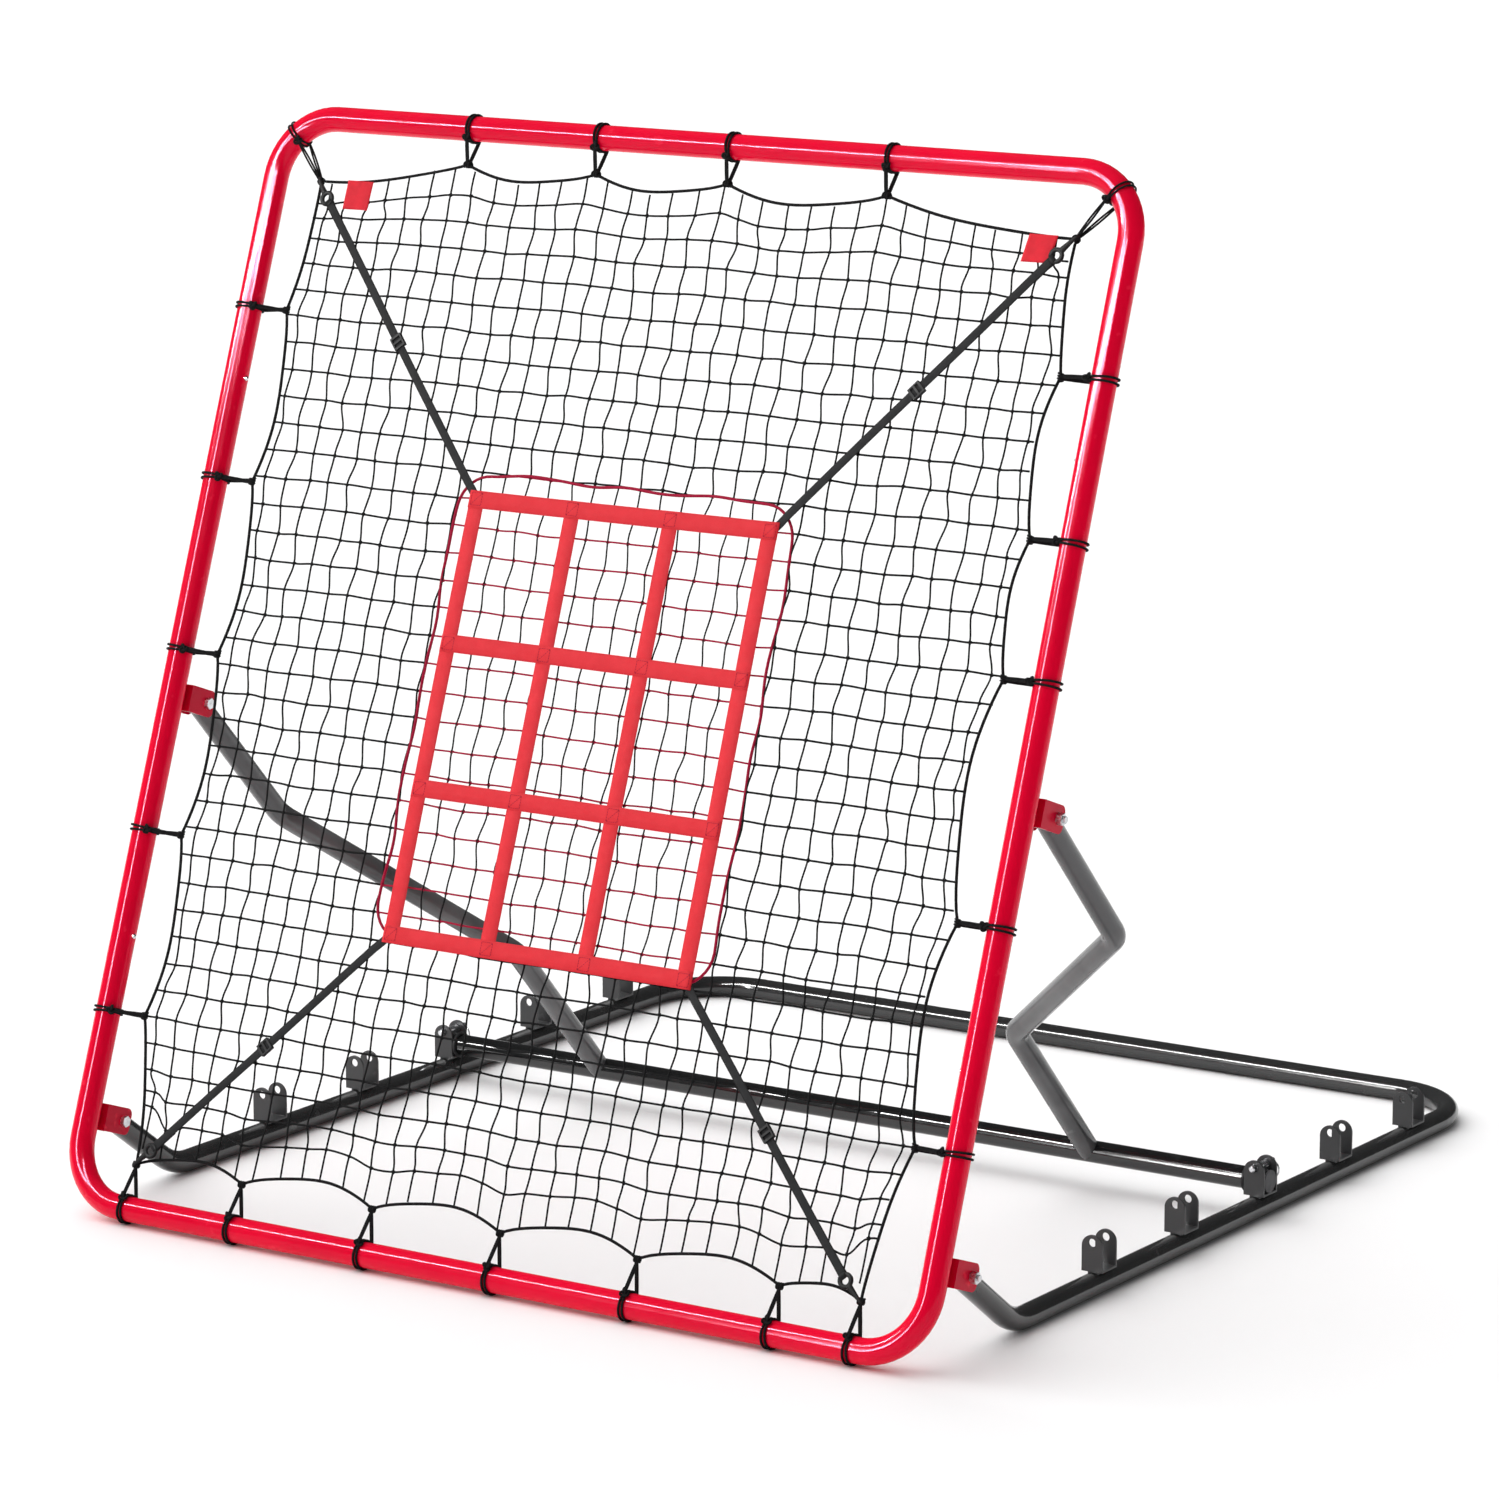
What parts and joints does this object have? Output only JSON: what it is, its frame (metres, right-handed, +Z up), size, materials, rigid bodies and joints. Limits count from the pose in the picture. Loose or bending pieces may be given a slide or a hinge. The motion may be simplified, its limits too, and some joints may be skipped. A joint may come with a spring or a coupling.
{
  "type": "pitching target net",
  "caption": "Pitching target: a net with a strike-zone grid in a leaning tube frame, hinged on a floor base and propped by a stand that drops into paired cradles.",
  "frame": {"origin": "on the floor, at the centre of the object's footprint", "axes": "+Z up, -Y towards the pitcher (the side the target faces), +X to the right seen from behind the pitcher"},
  "size_m": [1.3076, 1.4388, 1.3508],
  "materials": {
    "frame_paint": "gloss powder coat",
    "bracket_paint": "gloss powder coat",
    "base_paint": "gloss black powder coat",
    "prop_paint": "gloss dark grey powder coat",
    "crossbar_paint": "gloss black powder coat",
    "cradle_paint": "satin dark grey powder coat",
    "zinc_steel": "zinc plated",
    "button_steel": "polished",
    "spring_steel": "spring temper",
    "plug_plastic": "moulded",
    "collar_plastic": "moulded",
    "net_cord": "knotted nylon cord",
    "border_rope": "braided cord",
    "tie_cord": "braided cord",
    "zone_webbing": "flat woven webbing",
    "zone_cord": "knotted cord",
    "strap_webbing": "flat woven webbing",
    "buckle_plastic": "moulded",
    "tab_cloth": "sewn cloth"
  },
  "bodies": {
    "base": {"base_tube": "base_paint", "cradle_left_1": "cradle_paint", "cradle_left_2": "cradle_paint", "cradle_left_3": "cradle_paint", "cradle_left_4": "cradle_paint", "cradle_left_5": "cradle_paint", "cradle_right_1": "cradle_paint", "cradle_right_2": "cradle_paint", "cradle_right_3": "cradle_paint", "cradle_right_4": "cradle_paint", "cradle_right_5": "cradle_paint"},
    "target_frame": {"frame_top_hoop": "frame_paint", "frame_bottom_hoop": "frame_paint", "side_tube_left": "frame_paint", "side_tube_right": "frame_paint", "snap_springs": "spring_steel", "hinge_bracket_lower_left": "bracket_paint", "hinge_bracket_lower_right": "bracket_paint", "hinge_bracket_upper_left": "bracket_paint", "hinge_bracket_upper_right": "bracket_paint", "hinge_bolts_lower": "zinc_steel", "hinge_bolts_upper": "zinc_steel", "hinge_nuts_lower": "zinc_steel", "hinge_nuts_upper": "zinc_steel", "net": "net_cord", "net_border_rope": "border_rope", "tie_loops_top": "tie_cord", "tie_loops_right": "tie_cord", "tie_loops_bottom": "tie_cord", "tie_loops_left": "tie_cord", "strike_zone_grid": "zone_webbing", "zone_rope": "zone_cord", "zone_net": "zone_cord", "corner_strap_upper_left": "strap_webbing", "corner_strap_upper_right": "strap_webbing", "corner_strap_lower_left": "strap_webbing", "corner_strap_lower_right": "strap_webbing", "corner_hooks": "buckle_plastic", "net_tabs": "tab_cloth"},
    "prop": {"crossbar": "crossbar_paint", "crossbar_cap_left": "plug_plastic", "crossbar_cap_right": "plug_plastic", "crossbar_collar_left": "collar_plastic", "crossbar_collar_right": "collar_plastic", "prop_leg_left": "prop_paint", "prop_leg_right": "prop_paint"},
    "lock_pin_left": {"lock_pin_left": "zinc_steel"},
    "pull_ring_left": {"pull_ring_left": "zinc_steel"},
    "snap_button_lower_left": {"snap_button_lower_left": "button_steel"},
    "strap_slider_lower_left": {"strap_slider_lower_left": "buckle_plastic"},
    "snap_button_upper_left": {"snap_button_upper_left": "button_steel"},
    "strap_slider_upper_left": {"strap_slider_upper_left": "buckle_plastic"},
    "lock_pin_right": {"lock_pin_right": "zinc_steel"},
    "pull_ring_right": {"pull_ring_right": "zinc_steel"},
    "snap_button_lower_right": {"snap_button_lower_right": "button_steel"},
    "strap_slider_lower_right": {"strap_slider_lower_right": "buckle_plastic"},
    "snap_button_upper_right": {"snap_button_upper_right": "button_steel"},
    "strap_slider_upper_right": {"strap_slider_upper_right": "buckle_plastic"}
  },
  "joints": [
    {"name": "frame_fold", "type": "hinge", "parent": "base", "child": "target_frame", "pos_m": [0, -0.61454, 0.10176], "axis": [-1, 0, 0], "range_deg": [0, 64]},
    {"name": "prop_swing", "type": "hinge", "parent": "target_frame", "child": "prop", "pos_m": [0, -0.43053, 0.60732], "axis": [1, 0, 0], "range_deg": [0, 115.2]},
    {"name": "lock_pin_left_slide", "type": "slide", "parent": "base", "child": "lock_pin_left", "axis": [0, 1, 0], "range_m": [0, 0.06]},
    {"name": "pull_ring_left_swing", "type": "hinge", "parent": "lock_pin_left", "child": "pull_ring_left", "pos_m": [-0.625, 0.1338, 0.0659], "axis": [1, 0, 0], "range_deg": [-8, 95]},
    {"name": "snap_button_lower_left_press", "type": "slide", "parent": "target_frame", "child": "snap_button_lower_left", "axis": [-1, 0, 0], "range_m": [0, 0.0035], "stiffness_N_per_m": 400, "springref_m": -0.002},
    {"name": "strap_slider_lower_left_slide", "type": "slide", "parent": "target_frame", "child": "strap_slider_lower_left", "axis": [-0.687, -0.2485, -0.6829], "range_m": [-0.04, 0.04]},
    {"name": "snap_button_upper_left_press", "type": "slide", "parent": "target_frame", "child": "snap_button_upper_left", "axis": [-1, 0, 0], "range_m": [0, 0.0035], "stiffness_N_per_m": 400, "springref_m": -0.002},
    {"name": "strap_slider_upper_left_slide", "type": "slide", "parent": "target_frame", "child": "strap_slider_upper_left", "axis": [-0.6611, 0.2566, 0.7051], "range_m": [-0.04, 0.04]},
    {"name": "lock_pin_right_slide", "type": "slide", "parent": "base", "child": "lock_pin_right", "axis": [0, 1, 0], "range_m": [0, 0.06]},
    {"name": "pull_ring_right_swing", "type": "hinge", "parent": "lock_pin_right", "child": "pull_ring_right", "pos_m": [0.625, 0.1338, 0.0659], "axis": [1, 0, 0], "range_deg": [-8, 95]},
    {"name": "snap_button_lower_right_press", "type": "slide", "parent": "target_frame", "child": "snap_button_lower_right", "axis": [1, 0, 0], "range_m": [0, 0.0035], "stiffness_N_per_m": 400, "springref_m": -0.002},
    {"name": "strap_slider_lower_right_slide", "type": "slide", "parent": "target_frame", "child": "strap_slider_lower_right", "axis": [0.687, -0.2485, -0.6829], "range_m": [-0.04, 0.04]},
    {"name": "snap_button_upper_right_press", "type": "slide", "parent": "target_frame", "child": "snap_button_upper_right", "axis": [1, 0, 0], "range_m": [0, 0.0035], "stiffness_N_per_m": 400, "springref_m": -0.002},
    {"name": "strap_slider_upper_right_slide", "type": "slide", "parent": "target_frame", "child": "strap_slider_upper_right", "axis": [0.6611, 0.2566, 0.7051], "range_m": [-0.04, 0.04]}
  ],
  "couplings": [
    {"joint": "prop_swing", "follows": "frame_fold", "ratio": 1.8}
  ]
}
